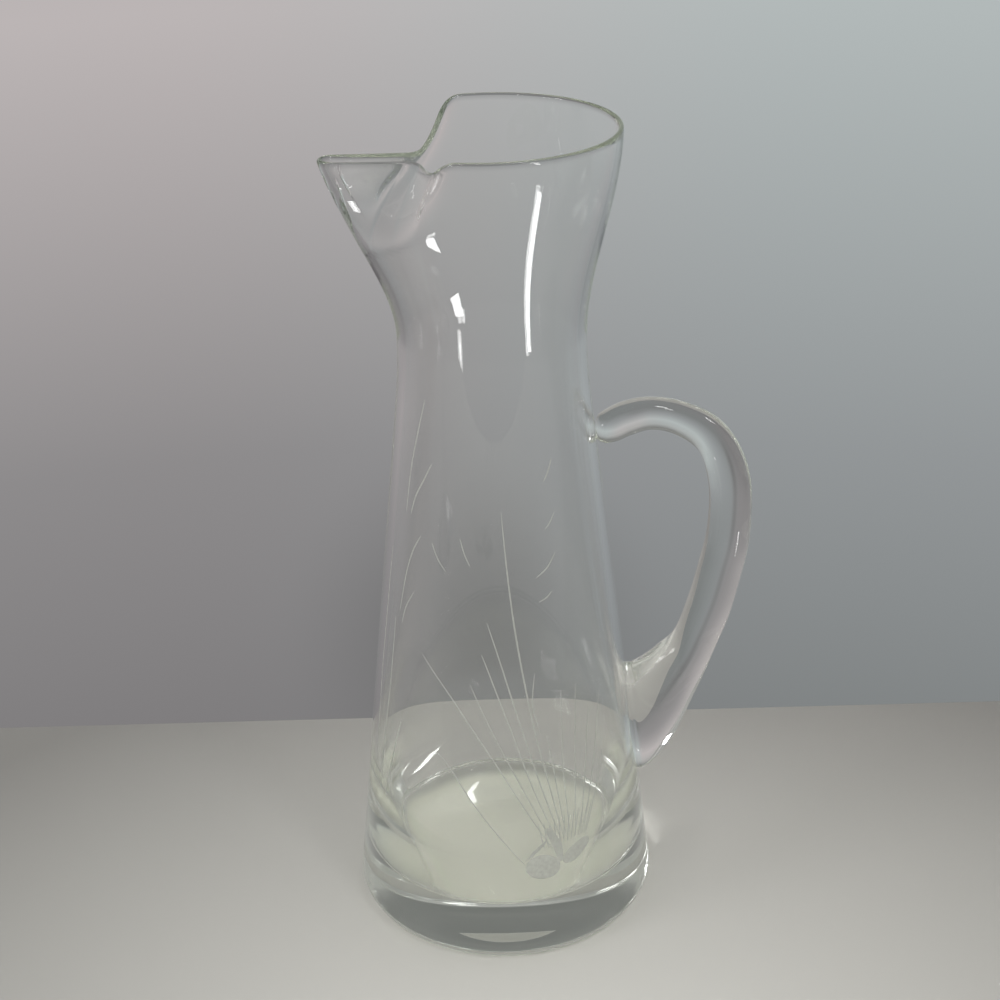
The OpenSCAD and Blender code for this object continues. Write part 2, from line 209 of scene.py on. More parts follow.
class VesselForm:
    """The vessel's surface, worked out from its sizes as the solid model's is. Only inside does it
    differ: the wall thins on its way to the rim, and the heel reaches higher"""

    def __init__(self, sizes):
        self.s = s = sizes
        self.rim_height = BODY_HIGH.z
        foot_radius = BODY_HIGH.y
        lean = math.atan((foot_radius - s.waist_radius) / s.waist_height)
        # The widest ring lies on the foot's rounding, a little outside its end
        self.foot_centre = Vector((foot_radius - s.foot_edge_radius, s.foot_edge_radius))
        self.foot_lean = lean
        self.foot_top = self.foot_centre + polar(s.foot_edge_radius, lean)
        self.waist_centre = Vector((s.waist_radius + s.waist_curve, s.waist_height))
        to_waist = self.waist_centre - self.foot_top
        reach = to_waist.length
        rise = math.sqrt(reach**2 - s.waist_curve**2)
        self.wall_angle = math.atan2(to_waist.y, to_waist.x) + math.asin(s.waist_curve / reach)
        self.wall_top = self.foot_top + polar(rise, self.wall_angle)
        self.make_rim()

    def make_rim(self):
        s = self.s
        half = s.beak_width / 2
        self.shoulder = polar(s.rim_radius, s.shoulder_angle)
        out = Vector((math.sin(s.shoulder_angle), -math.cos(s.shoulder_angle)))
        pinch = Vector((s.pinch_out, half))
        inward = (pinch - Vector((s.fold_out, FOLD_AIM * s.rim_radius))).normalized()
        corner = CORNER_REACH * half
        self.fold_end = Vector((mix(s.fold_out, s.pinch_out, FOLD_SHARE),
                                FOLD_ASIDE * s.rim_radius))
        self.pinch_start = pinch - CORNER_START * corner * inward
        self.pinch_end = pinch + Vector((corner, 0))
        self.tip_centre = Vector((s.beak_reach - half, 0))
        self.side_end = self.tip_centre + Vector((0, half))
        self.fold_curve = (self.shoulder, self.shoulder + SHOULDER_PULL * s.rim_radius * out,
                           self.fold_end - FOLD_PULL * s.rim_radius * inward, self.fold_end)
        self.corner_curve = (self.pinch_start, pinch - CORNER_IN * corner * inward,
                             pinch + Vector((CORNER_OUT * corner, 0)), self.pinch_end)

    def rim(self, share):
        """A point of half the rim: distance towards the beak, distance to the side, height"""
        s = self.s
        part = max(k for k in range(len(RIM_SHARES) - 1) if share >= RIM_SHARES[k])
        t = min(1.0, (share - RIM_SHARES[part]) / (RIM_SHARES[part + 1] - RIM_SHARES[part]))
        corner_drop = mix(s.pinch_drop, s.beak_drop, CORNER_DROP)
        side_drop = mix(s.pinch_drop, s.beak_drop, SIDE_DROP)
        if part == 0:
            p, drop = polar(s.rim_radius, mix(math.pi, s.shoulder_angle, t)), 0.0
        elif part == 1:
            p, drop = bezier(self.fold_curve, t), SHOULDER_DROP * s.pinch_drop * (2 * t * t - t**3)
        elif part == 2:
            p = mix(self.fold_end, self.pinch_start, t)
            drop = s.pinch_drop * mix(SHOULDER_DROP, 1.0, 2 * t - t * t)
        elif part == 3:
            p, drop = bezier(self.corner_curve, t), mix(s.pinch_drop, corner_drop, smooth(t))
        elif part == 4:
            p, drop = mix(self.pinch_end, self.side_end, t), mix(corner_drop, side_drop, smooth(t))
        else:
            p = self.tip_centre + polar(s.beak_width / 2, mix(math.pi / 2, 0.0, t))
            drop = mix(side_drop, s.beak_drop, smooth(t))
        return Vector((p.x, p.y, self.rim_height - drop))

    def radius(self, height):
        """Radius of the outer wall at a height between the foot and the waist"""
        s = self.s
        if height < self.wall_top.y:
            slope = math.cos(self.wall_angle) / math.sin(self.wall_angle)
            return self.foot_top.x + (height - self.foot_top.y) * slope
        below = min(height, s.waist_height) - s.waist_height
        return self.waist_centre.x - math.sqrt(s.waist_curve**2 - below**2)

    def line(self, turn):
        """A line of glass: share of half the rim, side, angle from the beak and direction"""
        share = turn / math.pi if turn <= math.pi else 2 - turn / math.pi
        side = 1.0 if turn <= math.pi else -1.0
        rounded = RIM_SHARES[1]
        if share <= rounded:
            angle = mix(math.pi, self.s.shoulder_angle, share / rounded)
        else:
            angle = mix(self.s.shoulder_angle, 0.0, (share - rounded) / (1 - rounded))
        return share, side, angle, Vector((-math.cos(angle), side * math.sin(angle)))

    def mouth(self, turn, t):
        """A point of the mouth's outer face, from the waist at t = 0 to the rim at t = 1"""
        s = self.s
        share, side, angle, flat = self.line(turn)
        rim = self.rim(share)
        height = mix(s.waist_height, rim.z, t)
        # The wide lip before it is pinched takes this part in its pull towards the beak
        aside = min(1.0, angle / s.shoulder_angle) ** 2
        lip = (1 - aside) ** 2
        reach = mix(s.rim_radius, s.beak_reach, lip)
        radius = mix(s.waist_radius, reach, smooth(t) - LEAN_SHARE * lip * t * t * (1 - t))
        low = mix(s.dimple_height, s.shoulder_height, aside)
        deep = max(0.0, (height - low) / (rim.z - low))
        pinched = deep * deep * (2 - deep)
        push = Vector((-rim.x, side * rim.y)) - reach * flat
        place = radius * flat + pinched * push
        return Vector((place.x, place.y, height))

    def mouth_normal(self, turn, t):
        full = 2 * math.pi
        across = self.mouth((turn + NUDGE) % full, t) - self.mouth((turn - NUDGE) % full, t)
        up = self.mouth(turn, min(1.0, t + NUDGE)) - self.mouth(turn, max(0.0, t - NUDGE))
        return across.cross(up).normalized()

    def stations(self):
        """The outline from the axis under the foot, up the outside, over the rim and down to the
        floor. A station is (kind, radius, height) below the waist and (kind, t, angle over the
        rim's bead) above it"""
        s = self.s
        line = []
        ball = (s.punt_radius**2 + s.punt_depth**2) / (2 * s.punt_depth)
        for i in range(PUNT_STEPS + 1):
            r = s.punt_radius * i / PUNT_STEPS
            line.append(("body", r, s.punt_depth - ball + math.sqrt(ball**2 - r * r)))
        for i in range(1, RING_STEPS):
            line.append(("body", mix(s.punt_radius, self.foot_centre.x, i / RING_STEPS), 0.0))
        for i in range(EDGE_STEPS + 1):
            angle = mix(-math.pi / 2, self.foot_lean, i / EDGE_STEPS)
            p = self.foot_centre + polar(s.foot_edge_radius, angle)
            line.append(("body", p.x, max(0.0, p.y)))
        for i in range(1, WALL_STEPS):
            p = mix(self.foot_top, self.wall_top, i / WALL_STEPS)
            line.append(("body", p.x, p.y))
        line += self.waist_line(0.0)
        bead = 1 - s.rim_wall / 2 / (self.rim_height - s.waist_height)
        line += [("outer", bead * i / MOUTH_STEPS, 0.0) for i in range(1, MOUTH_STEPS + 1)]
        line += [("bead", 1.0, math.pi * i / BEAD_STEPS) for i in range(1, BEAD_STEPS)]
        line += [("inner", bead * i / MOUTH_STEPS, 0.0) for i in range(MOUTH_STEPS, 0, -1)]
        line += self.waist_line(s.wall)[::-1]
        low = Vector((self.radius(s.heel_height) - s.wall, s.heel_height))
        floor_centre = Vector((s.floor_radius, s.floor_height + s.floor_edge))
        floor_end = floor_centre + polar(s.floor_edge, s.heel_angle - math.pi / 2)
        high = self.wall_top + polar(s.wall, self.wall_angle + math.pi / 2)
        for i in range(1, INNER_STEPS):
            p = mix(high, low, i / INNER_STEPS)
            line.append(("body", p.x, p.y))
        pull = (s.heel_height - s.floor_height) / 3
        heel = (floor_end, floor_end + polar(pull, s.heel_angle),
                low - polar(pull, self.wall_angle), low)
        for i in range(HEEL_STEPS, 0, -1):
            p = bezier(heel, i / HEEL_STEPS)
            line.append(("body", p.x, p.y))
        for i in range(EDGE_STEPS, -1, -1):
            angle = mix(-math.pi / 2, s.heel_angle - math.pi / 2, i / EDGE_STEPS)
            p = floor_centre + polar(s.floor_edge, angle)
            line.append(("body", p.x, p.y))
        for i in range(FLOOR_STEPS - 1, -1, -1):
            line.append(("body", s.floor_radius * i / FLOOR_STEPS, s.floor_height))
        return line

    def waist_line(self, inset):
        """The long curve into the waist, moved inwards by an inset"""
        start = self.wall_angle + math.pi / 2
        radius = self.s.waist_curve + inset
        points = [self.waist_centre + polar(radius, mix(start, math.pi, i / WAIST_STEPS))
                  for i in range(WAIST_STEPS + 1)]
        return [("body", p.x, p.y) for p in points]

    def place(self, station, turn):
        """The point of the surface at a station of the outline and an angle round the axis"""
        kind, a, b = station
        if kind == "body":
            flat = self.line(turn)[3]
            return Vector((a * flat.x, a * flat.y, b))
        outer = self.mouth(turn, a)
        if kind == "outer":
            return outer
        normal = self.mouth_normal(turn, a)
        if kind == "inner":
            return outer - mix(self.s.wall, self.s.rim_wall, a) * normal
        up = (outer - self.mouth(turn, a - NUDGE)).normalized()
        half = self.s.rim_wall / 2
        centre = outer - half * (normal + up)
        return centre + half * (math.cos(b) * normal + math.sin(b) * up)


def to_object(name, bm, material):
    """Finishes a mesh as a smooth object at the origin"""
    mesh = bpy.data.meshes.new(name)
    bm.to_mesh(mesh)
    bm.free()
    mesh.materials.append(material)
    mesh.polygons.foreach_set("use_smooth", [True] * len(mesh.polygons))
    piece = bpy.data.objects.new(name, mesh)
    bpy.context.scene.collection.objects.link(piece)
    return piece


def spin_outline(form, lines):
    """Spins the outline round the axis, then moves each vertex to its place on the pinched form"""
    bm = bmesh.new()
    mark = bm.verts.layers.int.new("station")
    stations = form.stations()
    verts = []
    for i, (kind, a, b) in enumerate(stations):
        radius = a if kind == "body" else form.s.waist_radius
        vert = bm.verts.new((radius, 0.0, i * MM))
        vert[mark] = i
        verts.append(vert)
    edges = [bm.edges.new(pair) for pair in zip(verts, verts[1:])]
    bmesh.ops.spin(bm, geom=verts + edges, cent=(0, 0, 0), axis=(0, 0, 1), dvec=(0, 0, 0),
                   angle=2 * math.pi, steps=lines, use_merge=True)
    for vert in bm.verts:
        turn = math.atan2(vert.co.y, vert.co.x) % (2 * math.pi)
        vert.co = form.place(stations[vert[mark]], turn)
    bmesh.ops.remove_doubles(bm, verts=bm.verts, dist=CLOSED_GAP)
    bmesh.ops.recalc_face_normals(bm, faces=bm.faces)
    return bm


# Stations of the handle from the upper weld to the end of its fall: the shares of the stand-off and
# of the height between the welds, the share of the rod's thickness, the direction across the rod
WELD_SHARES = (
    (-0.04, 0.990, 0.00, 96),
    (0.000, 0.993, 0.00, 97),
    (0.026, 0.996, 0.47, 100),
    (0.062, 1.001, 0.85, 105),
)
ARCH_SHARES = (
    (0.130, 1.010, 0.08, 110),
    (0.250, 1.030, 0.15, 106),
    (0.430, 1.044, 0.00, 95),
    (0.635, 1.030, 0.02, 76),
    (0.840, 0.985, 0.35, 56),
    (0.950, 0.920, 0.65, 37),
    (1.000, 0.832, 0.86, 12),
    (0.993, 0.738, 1.00, -7),
    (0.943, 0.624, 1.20, -18),
    (0.860, 0.522, 1.32, -24),
    (0.745, 0.398, 1.40, -27),
    (0.582, 0.264, 1.46, -33),
)
# The foot swells into the wall: the same places, then the shares of the root's length and width
ROOT_SHARES = (
    (0.412, 0.166, 0.53, 0.79, -55),
    (0.262, 0.083, 0.74, 0.85, -68),
    (0.105, 0.018, 0.93, 0.94, -78),
    (0.000, 0.000, 1.00, 1.00, -83),
    (-0.100, 0.000, 1.00, 1.00, -83),
)


def handle_stations(form, h):
    """Each station: distance out, height, half width in and across the handle's plane, direction"""
    stations = []

    def place(out, high):
        z = mix(h.root_height, h.weld_height, high)
        return form.radius(z) + h.grip_out * out, z

    for out, high, share, angle in WELD_SHARES:
        half = mix(h.weld_diameter, h.arch_diameter, share) / 2
        stations.append((*place(out, high), half, half, angle))
    for out, high, share, angle in ARCH_SHARES:
        half = mix(h.arch_diameter, h.grip_diameter, share) / 2
        stations.append((*place(out, high), half, half, angle))
    for out, high, tall, wide, angle in ROOT_SHARES:
        half, across = h.root_length / 2 * tall, h.root_width / 2 * wide
        stations.append((*place(out, high), half, across, angle))
    return stations


def through(a, b, c, d, t):
    """A smooth curve from b to c, with a before and d after them"""
    return tuple(q + (r - p) * t / 2 + (p - 2.5 * q + 2 * r - s / 2) * t * t
                 + (1.5 * q - 1.5 * r + (s - p) / 2) * t**3 for p, q, r, s in zip(a, b, c, d))


def section_frame(station):
    """Places a unit circle as the rod's section at a station"""
    out, high, along, across, angle = station
    a = math.radians(angle)
    place = Matrix.Translation((out, 0, high))
    frame_axes = Matrix(((math.cos(a), 0, -math.sin(a), 0), (0, 1, 0, 0),
                         (math.sin(a), 0, math.cos(a), 0), (0, 0, 0, 1)))
    return place @ frame_axes @ Matrix.Diagonal((along, across, 1, 1))


def onto_wall(form, co, gap):
    """The point of the wall that lies inwards of a point near it"""
    radius = form.radius(co.z) + gap
    return Vector((math.sqrt(max(0.0, radius**2 - co.y**2)), co.y, co.z))


def cap_on_wall(bm, form, ring, gap, steps):
    """Closes an end of the rod with rings that lie on the wall"""
    for vert in ring:
        vert.co = onto_wall(form, vert.co, gap)
    centre = sum((v.co for v in ring), Vector()) / len(ring)
    edges = [bm.edges.get((a, b)) for a, b in zip(ring, ring[1:] + ring[:1])]
    for k in range(steps - 1, 0, -1):
        made = bmesh.ops.extrude_edge_only(bm, edges=edges)["geom"]
        new = [g for g in made if isinstance(g, bmesh.types.BMVert)]
        edges = [g for g in made if isinstance(g, bmesh.types.BMEdge)]
        for vert in new:
            vert.co = onto_wall(form, centre + (vert.co - centre) * k / (k + 1), gap)
    made = bmesh.ops.contextual_create(bm, geom=edges)["faces"]
    bmesh.ops.poke(bm, faces=made)


def build_handle(form, h):
    """Draws the rod out station by station from a circle, and seats its ends on the wall"""
    stations = handle_stations(form, h)
    line = []
    for k in range(1, len(stations) - 2):
        for i in range(h.steps):
            line.append(through(*stations[k - 1:k + 3], i / h.steps))
    line.append(stations[-2])
    bm = bmesh.new()
    mark = bm.verts.layers.int.new("side")
    unit = bmesh.ops.create_circle(bm, segments=h.sides, radius=1.0)["verts"]
    circle = [v.co.copy() for v in unit]
    for i, vert in enumerate(unit):
        vert[mark] = i
        # The section's plane holds the handle's depth along X and its width along Y
        vert.co = section_frame(line[0]) @ circle[i]
    first = list(unit)
    edges = list(bm.edges)
    for station in line[1:]:
        made = bmesh.ops.extrude_edge_only(bm, edges=edges)["geom"]
        edges = [g for g in made if isinstance(g, bmesh.types.BMEdge)]
        new = [g for g in made if isinstance(g, bmesh.types.BMVert)]
        for vert in new:
            vert.co = section_frame(station) @ circle[vert[mark]]
    last = sorted(new, key=lambda v: v[mark])
    cap_on_wall(bm, form, first, h.clearance, WELD_RINGS)
    cap_on_wall(bm, form, last, h.clearance, ROOT_RINGS)
    bmesh.ops.recalc_face_normals(bm, faces=bm.faces)
    return bm


# The stems and blades of the wheel-cut grasses, from the tuft of leaves to their tips: their width
# as a share of the stem width, then points of the wall as degrees round from the front and
# millimetres up
STEMS = (
    (0.8, ((7.9, 37.8), (-12.4, 61.2), (-22.7, 73.5), (-29.6, 78.6))),
    (1.0, ((19.4, 42.0), (4.7, 65.5), (-6.7, 81.7), (-22.2, 99.3), (-38.9, 112.9))),
    (0.9, ((20.4, 43.0), (7.8, 67.3), (-1.5, 83.8), (-8.2, 95.4), (-14.2, 106.0))),
    (1.0, ((22.0, 44.0), (12.3, 66.7), (4.8, 86.8), (-4.0, 107.2), (-8.7, 116.8))),
    (1.1, ((23.2, 45.0), (15.8, 66.9), (9.4, 86.5), (1.0, 111.0), (-5.9, 128.1))),
    (1.2, ((24.2, 46.0), (19.3, 66.9), (14.3, 87.6), (8.0, 120.1), (4.6, 144.0), (2.3, 166.0))),
    (0.8, ((17.0, 87.0), (14.6, 94.0), (13.9, 100.0), (15.5, 109.1))),
    (0.8, ((25.4, 46.0), (22.5, 66.2), (21.0, 78.1), (19.4, 85.7))),
    (0.9, ((27.2, 46.0), (26.1, 71.5), (26.7, 84.8), (27.8, 100.8))),
    (1.0, ((29.6, 45.0), (31.9, 69.8), (33.7, 86.2), (35.5, 101.1))),
    (1.0, ((31.8, 44.5), (36.9, 68.2), (39.4, 81.1), (42.0, 91.1))),
    (1.0, ((33.2, 44.5), (40.8, 66.8), (44.9, 79.1), (49.4, 94.4))),
    (0.9, ((34.2, 44.0), (39.4, 54.6), (43.4, 62.3), (47.9, 72.4))),
    (1.0, ((-59.3, 51.1), (-55.8, 66.4), (-52.8, 77.5), (-50.2, 84.7))),
    (0.8, ((-64.0, 52.0), (-62.4, 80.0), (-60.7, 96.0), (-59.5, 120.7))),
    (0.8, ((-70.0, 60.0), (-71.0, 95.0), (-69.1, 125.7), (-67.9, 143.8))),
    (0.8, ((-53.8, 120.0), (-51.4, 126.5), (-46.0, 133.4))),
    (0.9, ((-56.0, 124.0), (-52.5, 138.0), (-48.1, 147.5), (-42.8, 153.9))),
    (1.0, ((-55.1, 160.0), (-53.0, 174.5), (-48.6, 188.0), (-43.7, 199.7))),
    (1.0, ((-51.0, 160.0), (-47.8, 166.7), (-42.0, 173.5), (-37.0, 179.5))),
    (0.7, ((-26.7, 144.2), (-31.5, 148.0), (-35.3, 152.9))),
    (0.7, ((-14.0, 147.2), (-17.0, 151.5), (-19.3, 156.3))),
    (0.8, ((26.2, 174.0), (29.5, 177.0), (32.3, 181.1))),
    (0.7, ((25.4, 158.2), (28.6, 160.2), (31.4, 163.1))),
    (0.9, ((18.8, 142.3), (25.0, 145.0), (30.2, 149.5))),
    (0.8, ((19.7, 133.8), (23.6, 134.8), (26.8, 136.6))),
)
# The broad frosted leaves at the foot of the stems: width in millimetres, then the same points
LEAVES = (
    (9.2, ((7.9, 37.2), (14.7, 36.4), (21.8, 34.8))),
    (5.4, ((23.3, 36.6), (28.9, 39.0), (35.6, 42.6))),
    (3.2, ((22.4, 37.0), (21.2, 44.0), (17.0, 51.0))),
)
# The fan of short cuts above the leaves, then the hatching beside the round leaf: the number of
# cuts, their width as a share of the stem width, then the lower ends of the first and last cut
# and their upper ends
ROWS = (
    (12, 0.8, ((15.8, 43.0), (34.0, 45.0)), ((13.6, 53.0), (39.0, 56.0))),
    (7, 0.9, ((8.2, 39.4), (15.0, 44.0)), ((11.6, 43.4), (17.2, 47.0))),
)
# How a thin and a broad cut swell from their ends (a lower power swells sooner), and the points
# across each
THIN_CUT = (0.5, 2)
BROAD_CUT = (0.55, 14)


def along(points, t):
    """A place on a smooth line through points, t running from 0 to 1"""
    last = len(points) - 1
    k = min(last - 1, int(t * last))
    ends = (points[0], *points, points[-1])
    return through(*ends[k:k + 4], t * last - k)


def add_cut(bm, form, c, points, width, kind):
    """Lays one lens-shaped strip of frosted skin on the wall along a line of angles and heights"""
    swell, across = kind
    made = bmesh.ops.create_grid(bm, x_segments=c.steps, y_segments=across, size=1.0)["verts"]
    faces = {face for vert in made for face in vert.link_faces}
    for vert in made:
        t, side = (vert.co.x + 1) / 2, vert.co.y
        angle, high = along(points, t)
        ahead, behind = along(points, min(1.0, t + NUDGE)), along(points, max(0.0, t - NUDGE))
        radius = form.radius(high * MM)
        round_run = math.radians(ahead[0] - behind[0]) * radius
        run = Vector((round_run, (ahead[1] - behind[1]) * MM)).normalized()
        half = mix(c.tip_width, width, math.sin(math.pi * t) ** swell) / 2
        step = Vector((-run.y, run.x)) * half * side
        turn = math.radians(angle) + step.x / radius
        z = high * MM + step.y
        out = form.radius(z) + c.clearance
        vert.co = (out * math.sin(turn), -out * math.cos(turn), z)
    bm.normal_update()
    bmesh.ops.solidify(bm, geom=list(faces), thickness=-c.skin)


def build_cuts(form, c):
    """All the wheel-cut grasses as one thin frosted piece"""
    bm = bmesh.new()
    for share, points in STEMS:
        add_cut(bm, form, c, points, c.stem_width * share, THIN_CUT)
    for width, points in LEAVES:
        add_cut(bm, form, c, points, width * MM, BROAD_CUT)
    for cuts, share, *rows in ROWS:
        for i in range(cuts):
            points = [tuple(mix(a, b, i / (cuts - 1)) for a, b in zip(*row)) for row in rows]
            add_cut(bm, form, c, points, c.stem_width * share, THIN_CUT)
    bmesh.ops.recalc_face_normals(bm, faces=bm.faces)
    return bm


GLASS_IOR = 1.5
# Waves of the glass to a metre round and along the piece, and their depth
BODY_RIPPLE = (28.0, 7.0, 0.06 * MM)
HANDLE_RIPPLE = (40.0, 20.0, 0.05 * MM)
# The ground glass of the cuts: its grain to a metre, the grain's depth and strength, its roughness
FROST_GRAIN = 900.0
FROST_DEPTH = 0.02 * MM
FROST_STRENGTH = 0.6
FROST_ROUGHNESS = 0.75


def new_material(name):
    material = bpy.data.materials.new(name)
    material.use_nodes = True
    nodes = material.node_tree.nodes
    return material, nodes, material.node_tree.links, nodes["Principled BSDF"]


def ripple_group():
    """The slow waviness of blown glass, drawn out along its height"""
    group = bpy.data.node_groups.new("blown_ripple", "ShaderNodeTree")
    for name, value in zip(("Round", "Along"), BODY_RIPPLE):
        socket = group.interface.new_socket(name, in_out="INPUT", socket_type="NodeSocketFloat")
        socket.default_value = value
    group.interface.new_socket("Height", in_out="OUTPUT", socket_type="NodeSocketFloat")
    nodes, links = group.nodes, group.links
    given, result = nodes.new("NodeGroupInput"), nodes.new("NodeGroupOutput")
    place, scale = nodes.new("ShaderNodeTexCoord"), nodes.new("ShaderNodeCombineXYZ")
    stretch, noise = nodes.new("ShaderNodeVectorMath"), nodes.new("ShaderNodeTexNoise")
    stretch.operation = "MULTIPLY"
    noise.inputs["Scale"].default_value = 1.0
    noise.inputs["Detail"].default_value = 1.0
    links.new(given.outputs["Round"], scale.inputs["X"])
    links.new(given.outputs["Round"], scale.inputs["Y"])
    links.new(given.outputs["Along"], scale.inputs["Z"])
    links.new(place.outputs["Object"], stretch.inputs[0])
    links.new(scale.outputs["Vector"], stretch.inputs[1])
    links.new(stretch.outputs["Vector"], noise.inputs["Vector"])
    links.new(noise.outputs["Fac"], result.inputs["Height"])
    return group


def glass_material(name, ripple):
    """Clear glass with a grey-green body colour and the soft ripple of hand work"""
    look = bpy.context.scene.pitcher_glass
    material, nodes, links, shader = new_material(name)
    shader.inputs["Base Color"].default_value = look.surface
    shader.inputs["Roughness"].default_value = 0.0
    shader.inputs["IOR"].default_value = GLASS_IOR
    shader.inputs["Transmission Weight"].default_value = 1.0
    wave, bump = nodes.new("ShaderNodeGroup"), nodes.new("ShaderNodeBump")
    wave.node_tree = bpy.data.node_groups.get("blown_ripple") or ripple_group()
    wave.inputs["Round"].default_value, wave.inputs["Along"].default_value = ripple[:2]
    bump.inputs["Strength"].default_value = 1.0
    bump.inputs["Distance"].default_value = ripple[2]
    links.new(wave.outputs["Height"], bump.inputs["Height"])
    links.new(bump.outputs["Normal"], shader.inputs["Normal"])
    absorb = nodes.new("ShaderNodeVolumeAbsorption")
    absorb.inputs["Color"].default_value = (*look.tint, 1.0)
    absorb.inputs["Density"].default_value = look.density
    links.new(absorb.outputs["Volume"], nodes["Material Output"].inputs["Volume"])
    return material


def frost_material():
    """The uneven grey of wheel-ground glass"""
    look = bpy.context.scene.pitcher_glass
    material, nodes, links, shader = new_material("cut_frost")
    shader.inputs["Roughness"].default_value = FROST_ROUGHNESS
    shader.inputs["IOR"].default_value = GLASS_IOR
    shader.inputs["Alpha"].default_value = look.frost_cover
    place, noise = nodes.new("ShaderNodeTexCoord"), nodes.new("ShaderNodeTexNoise")
    ramp, bump = nodes.new("ShaderNodeValToRGB"), nodes.new("ShaderNodeBump")
    noise.inputs["Scale"].default_value = FROST_GRAIN
    noise.inputs["Detail"].default_value = 3.0
    ramp.color_ramp.elements[0].color = look.frost_low
    ramp.color_ramp.elements[1].color = look.frost_high
    bump.inputs["Strength"].default_value = FROST_STRENGTH
    bump.inputs["Distance"].default_value = FROST_DEPTH
    links.new(place.outputs["Object"], noise.inputs["Vector"])
    links.new(noise.outputs["Fac"], ramp.inputs["Fac"])
    links.new(ramp.outputs["Color"], shader.inputs["Base Color"])
    links.new(noise.outputs["Fac"], bump.inputs["Height"])
    links.new(bump.outputs["Normal"], shader.inputs["Normal"])
    return material


class PITCHER_OT_vessel(bpy.types.Operator):
    """Make the blown body with its pinched beak"""

    bl_idname = "pitcher.vessel"
    bl_label = "Vessel"

    def execute(self, context):
        sizes = context.scene.pitcher_vessel
        form = VesselForm(sizes)
        glass = glass_material("body_glass", BODY_RIPPLE)
        piece = to_object("vessel_glass", spin_outline(form, sizes.lines), glass)
        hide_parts("vessel")
        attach(piece, "root")
        return {"FINISHED"}


class PITCHER_OT_cuts(bpy.types.Operator):
    """Make the wheel-cut grasses on the front of the body"""

    bl_idname = "pitcher.cuts"
    bl_label = "Wheel-cut Grasses"

    def execute(self, context):
        form = VesselForm(context.scene.pitcher_vessel)
        cuts = build_cuts(form, context.scene.pitcher_cuts)
        piece = to_object("cut_grasses", cuts, frost_material())
        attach(piece, "root")
        return {"FINISHED"}


class PITCHER_OT_handle(bpy.types.Operator):
    """Make the solid handle that is applied to the body"""

    bl_idname = "pitcher.handle"
    bl_label = "Handle"

    def execute(self, context):
        form = VesselForm(context.scene.pitcher_vessel)
        glass = glass_material("handle_glass", HANDLE_RIPPLE)
        rod = build_handle(form, context.scene.pitcher_handle)
        piece = to_object("handle_rod", rod, glass)
        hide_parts("handle")
        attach(piece, "root")
        return {"FINISHED"}


# Each lamp: its place, the point it faces, its width and height, and its power in watts. The two
# low ones are mirrored by the flaring mouth, which looks down past the table's front edge
LAMPS = {
    "window_left": ((-1.12, -0.58, 0.60), (0, 0, 0.26), (0.45, 0.20), 3.4),
    "low_right": ((0.935, -0.903, -0.80), (0, 0, 0.25), (0.10, 0.60), 3.1),
    "low_left": ((-0.62, -0.872, -0.78), (0, 0, 0.237), (0.14, 0.09), 0.65),
    "ceiling_right": ((0.5, -0.6, 1.5), (0, 0, 0.15), (0.12, 0.5), 2.0),
}


def add_lamp(name, place, target, size, power):
    """A rectangle of light that faces a point. The camera sees it only by way of the glass"""
    data = bpy.data.lights.new(name, "AREA")
    data.shape = "RECTANGLE"
    data.size, data.size_y = size
    data.energy = power
    lamp = bpy.data.objects.new(name, data)
    lamp.location = place
    lamp.rotation_euler = (Vector(target) - Vector(place)).to_track_quat("-Z", "Y").to_euler()
    lamp.visible_camera = False
    bpy.context.scene.collection.objects.link(lamp)


# The room's colours by the height of the view's direction: behind the pitcher on the left and
# on the right, then in front of it
ROOM_LEFT = (
    (-0.60, (0.190, 0.184, 0.187)), (-0.42, (0.268, 0.258, 0.262)), (-0.19, (0.500, 0.462, 0.462)),
    (0.06, (0.40, 0.39, 0.385)), (0.30, (0.20, 0.205, 0.20)), (0.75, (0.16, 0.165, 0.16)),
    (0.93, (0.58, 0.58, 0.57)),
)
ROOM_RIGHT = (
    (-0.60, (0.190, 0.203, 0.203)), (-0.42, (0.290, 0.306, 0.314)), (-0.19, (0.447, 0.487, 0.487)),
    (0.06, (0.38, 0.40, 0.40)), (0.30, (0.20, 0.205, 0.20)), (0.75, (0.16, 0.165, 0.16)),
    (0.93, (0.58, 0.58, 0.57)),
)
ROOM_FRONT = (
    (-0.60, (0.34, 0.34, 0.33)), (0.00, (0.36, 0.36, 0.35)), (0.40, (0.38, 0.38, 0.37)),
    (0.93, (0.36, 0.36, 0.35)),
)
# Where the left of the wall blends into the right, and the front of the room into the wall
SIDE_BLEND = (-0.2, 0.2)
WALL_BLEND = (-0.1, 0.45)
# The soft shade on the wall: where it is seen, how wide and how deep it is, and its colour
SHADE_DIRECTION = (-0.012, 0.857, -0.515)
SHADE_REACH = 0.12
SHADE_DEPTH = 0.36
SHADE_COLOUR = (0.055, 0.055, 0.05, 1.0)
# The even light that matt surfaces gather
EVEN_LIGHT = ((-0.10, (0.40, 0.40, 0.40)), (0.00, (0.45, 0.45, 0.445)), (1.00, (1.05, 1.05, 1.03)))


def height_ramp(nodes, links, height, stops):
    """A row of colours by height of view"""
    low, high = stops[0][0], stops[-1][0]
    spread, ramp = nodes.new("ShaderNodeMapRange"), nodes.new("ShaderNodeValToRGB")
    spread.inputs["From Min"].default_value = low
    spread.inputs["From Max"].default_value = high
    marks = ramp.color_ramp.elements
    for stop in stops[1:-1]:
        marks.new((stop[0] - low) / (high - low))
    for mark, stop in zip(marks, stops):
        mark.color = (*stop[1], 1.0)
    links.new(height, spread.inputs["Value"])
    links.new(spread.outputs["Result"], ramp.inputs["Fac"])
    return ramp.outputs["Color"]


